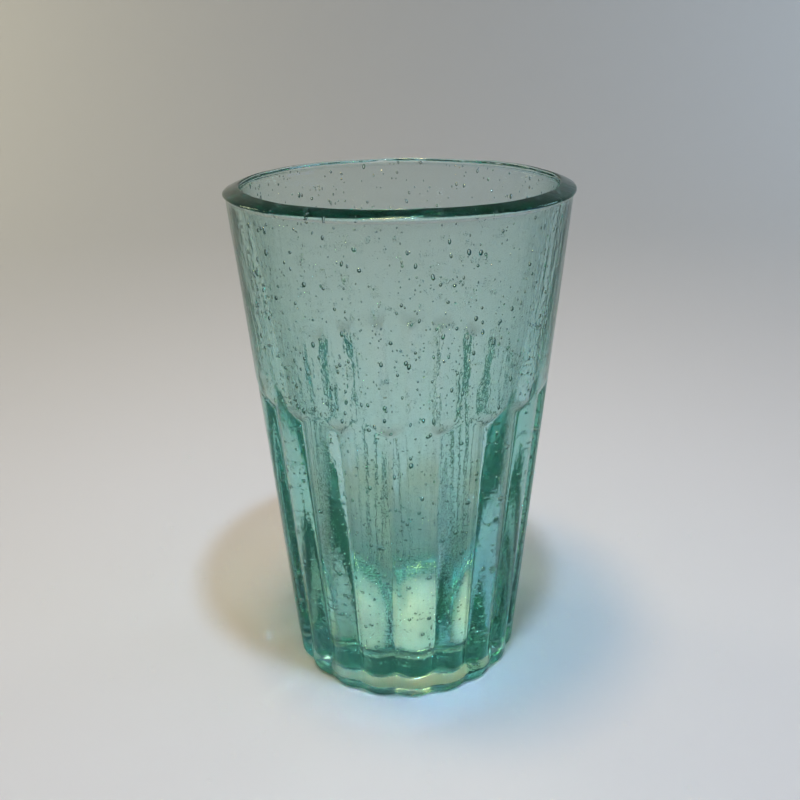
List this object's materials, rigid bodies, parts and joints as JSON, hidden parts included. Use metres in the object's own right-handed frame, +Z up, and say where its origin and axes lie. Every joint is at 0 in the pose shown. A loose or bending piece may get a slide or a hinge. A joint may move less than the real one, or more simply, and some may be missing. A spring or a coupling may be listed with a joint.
{
  "type": "chai glass",
  "caption": "Tapering tea glass of thick green seeded glass with a rounded rim bead, a plain upper wall, a lobed lower wall under small ledges, and a thick flat foot.",
  "frame": {"origin": "centre of the flat foot, on the surface that the glass stands on", "axes": "+Z up along the axis of the glass, -Y towards the viewer of the picture"},
  "size_m": [0.0704, 0.0704, 0.11],
  "materials": {
    "green_seeded_glass": "fire-polished, clear, with small bubbles"
  },
  "bodies": {
    "root": {"glass_tumbler": "green_seeded_glass"}
  },
  "joints": []
}
